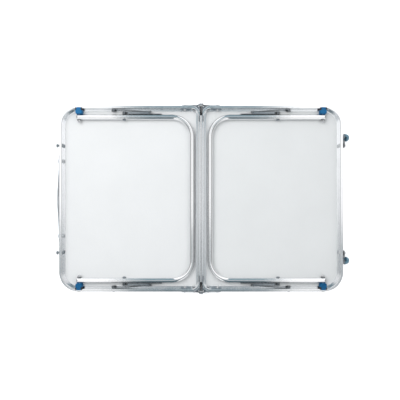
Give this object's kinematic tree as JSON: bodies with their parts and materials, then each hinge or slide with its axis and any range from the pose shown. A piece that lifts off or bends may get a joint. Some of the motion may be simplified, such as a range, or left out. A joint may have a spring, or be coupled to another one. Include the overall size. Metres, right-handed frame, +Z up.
{
  "type": "folding table",
  "caption": "Suitcase-style folding camp table, opened flat and face down, with two folded U-shaped tube legs, folding braces, centre hinges, latches and a handle.",
  "frame": {"origin": "on the floor under the fold line, midway along the table's width; the work surface faces down", "axes": "+Z up, out of the underside; +X along the table's length towards the latches; +Y along the fold line"},
  "size_m": [1.242, 0.8058, 0.0409],
  "materials": {
    "frame_aluminium": "bright anodised extrusion",
    "splice_aluminium": "mill finish",
    "white_panel": "thin fibreboard with a white laminate",
    "blue_plastic": "moulded, satin",
    "zinc_steel": "zinc plated",
    "hinge_steel": "blue-passivated zinc",
    "brace_steel": "zinc plated, dull",
    "leg_aluminium": "polished tube",
    "dark_plastic": "moulded",
    "grey_plastic": "moulded, flexible",
    "knob_plastic": "moulded, satin"
  },
  "bodies": {
    "left_half": {"outer_rail_left": "frame_aluminium", "seam_rail_left": "frame_aluminium", "rail_splices_left": "splice_aluminium", "tabletop_left": "white_panel", "pivot_block_left_front": "blue_plastic", "pivot_block_left_rear": "blue_plastic", "pivot_bolts_left": "zinc_steel", "pivot_washers_left": "zinc_steel", "pivot_nuts_left": "zinc_steel", "brace_bolts_left": "zinc_steel", "brace_nuts_left": "zinc_steel", "hinge_leaf_left_front": "hinge_steel", "hinge_leaf_left_rear": "hinge_steel", "hinge_rivets_left": "zinc_steel", "hinge_backers_left": "hinge_steel", "hinge_pins": "zinc_steel", "handle_strap": "grey_plastic", "handle_bolts": "zinc_steel", "latch_studs": "zinc_steel"},
    "right_half": {"outer_rail_right": "frame_aluminium", "seam_rail_right": "frame_aluminium", "rail_splices_right": "splice_aluminium", "tabletop_right": "white_panel", "pivot_block_right_front": "blue_plastic", "pivot_block_right_rear": "blue_plastic", "pivot_bolts_right": "zinc_steel", "pivot_washers_right": "zinc_steel", "pivot_nuts_right": "zinc_steel", "brace_bolts_right": "zinc_steel", "brace_nuts_right": "zinc_steel", "hinge_leaf_right_front": "hinge_steel", "hinge_leaf_right_rear": "hinge_steel", "hinge_rivets_right": "zinc_steel", "hinge_backers_right": "hinge_steel", "latch_bushes": "dark_plastic", "latch_bolts": "zinc_steel"},
    "leg_left": {"leg_tube_left": "leg_aluminium", "leg_plugs_left": "dark_plastic", "leg_bolts_left": "zinc_steel", "leg_bushes_left": "zinc_steel"},
    "frame_link_left_front": {"frame_link_left_front": "brace_steel", "knee_rivet_left_front": "zinc_steel"},
    "leg_link_left_front": {"leg_link_left_front": "brace_steel"},
    "frame_link_left_rear": {"frame_link_left_rear": "brace_steel", "knee_rivet_left_rear": "zinc_steel"},
    "leg_link_left_rear": {"leg_link_left_rear": "brace_steel"},
    "leg_right": {"leg_tube_right": "leg_aluminium", "leg_plugs_right": "dark_plastic", "leg_bolts_right": "zinc_steel", "leg_bushes_right": "zinc_steel"},
    "frame_link_right_front": {"frame_link_right_front": "brace_steel", "knee_rivet_right_front": "zinc_steel"},
    "leg_link_right_front": {"leg_link_right_front": "brace_steel"},
    "frame_link_right_rear": {"frame_link_right_rear": "brace_steel", "knee_rivet_right_rear": "zinc_steel"},
    "leg_link_right_rear": {"leg_link_right_rear": "brace_steel"},
    "latch_front": {"latch_lever_front": "brace_steel", "latch_knob_front": "knob_plastic"},
    "latch_rear": {"latch_lever_rear": "brace_steel", "latch_knob_rear": "knob_plastic"}
  },
  "joints": [
    {"name": "table_fold", "type": "hinge", "parent": "left_half", "child": "right_half", "pos_m": [0, 0, 0.0304], "axis": [0, -1, 0], "range_deg": [0, 180]},
    {"name": "leg_left_fold", "type": "hinge", "parent": "left_half", "child": "leg_left", "pos_m": [-0.517, 0, 0.0175], "axis": [0, 1, 0], "range_deg": [-99.5, 0]},
    {"name": "brace_left_front_frame_pivot", "type": "hinge", "parent": "left_half", "child": "frame_link_left_front", "pos_m": [-0.371, -0.378, 0.0175], "axis": [0, 1, 0], "range_deg": [-133.74, 0]},
    {"name": "brace_left_front_leg_pivot", "type": "hinge", "parent": "leg_left", "child": "leg_link_left_front", "pos_m": [-0.326, -0.3667, 0.0175], "axis": [0, 1, 0], "range_deg": [0, 146.61]},
    {"name": "brace_left_rear_frame_pivot", "type": "hinge", "parent": "left_half", "child": "frame_link_left_rear", "pos_m": [-0.371, 0.378, 0.0175], "axis": [0, 1, 0], "range_deg": [-133.74, 0]},
    {"name": "brace_left_rear_leg_pivot", "type": "hinge", "parent": "leg_left", "child": "leg_link_left_rear", "pos_m": [-0.326, 0.3667, 0.0175], "axis": [0, 1, 0], "range_deg": [0, 146.61]},
    {"name": "leg_right_fold", "type": "hinge", "parent": "right_half", "child": "leg_right", "pos_m": [0.517, 0, 0.0175], "axis": [0, -1, 0], "range_deg": [-99.5, 0]},
    {"name": "brace_right_front_frame_pivot", "type": "hinge", "parent": "right_half", "child": "frame_link_right_front", "pos_m": [0.371, -0.378, 0.0175], "axis": [0, -1, 0], "range_deg": [-133.74, 0]},
    {"name": "brace_right_front_leg_pivot", "type": "hinge", "parent": "leg_right", "child": "leg_link_right_front", "pos_m": [0.326, -0.3667, 0.0175], "axis": [0, -1, 0], "range_deg": [0, 146.61]},
    {"name": "brace_right_rear_frame_pivot", "type": "hinge", "parent": "right_half", "child": "frame_link_right_rear", "pos_m": [0.371, 0.378, 0.0175], "axis": [0, -1, 0], "range_deg": [-133.74, 0]},
    {"name": "brace_right_rear_leg_pivot", "type": "hinge", "parent": "leg_right", "child": "leg_link_right_rear", "pos_m": [0.326, 0.3667, 0.0175], "axis": [0, -1, 0], "range_deg": [0, 146.61]},
    {"name": "latch_front_swing", "type": "hinge", "parent": "right_half", "child": "latch_front", "pos_m": [0.6061, -0.229, 0.0175], "axis": [-1, 0, 0], "range_deg": [0, 90]},
    {"name": "latch_rear_swing", "type": "hinge", "parent": "right_half", "child": "latch_rear", "pos_m": [0.6061, 0.225, 0.0175], "axis": [1, 0, 0], "range_deg": [0, 90]}
  ],
  "couplings": [
    {"joint": "brace_left_front_frame_pivot", "follows": "leg_left_fold", "ratio": 1.3391},
    {"joint": "brace_left_front_leg_pivot", "follows": "leg_left_fold", "ratio": -1.4685},
    {"joint": "brace_left_rear_frame_pivot", "follows": "leg_left_fold", "ratio": 1.3391},
    {"joint": "brace_left_rear_leg_pivot", "follows": "leg_left_fold", "ratio": -1.4685},
    {"joint": "brace_right_front_frame_pivot", "follows": "leg_right_fold", "ratio": 1.3391},
    {"joint": "brace_right_front_leg_pivot", "follows": "leg_right_fold", "ratio": -1.4685},
    {"joint": "brace_right_rear_frame_pivot", "follows": "leg_right_fold", "ratio": 1.3391},
    {"joint": "brace_right_rear_leg_pivot", "follows": "leg_right_fold", "ratio": -1.4685}
  ]
}
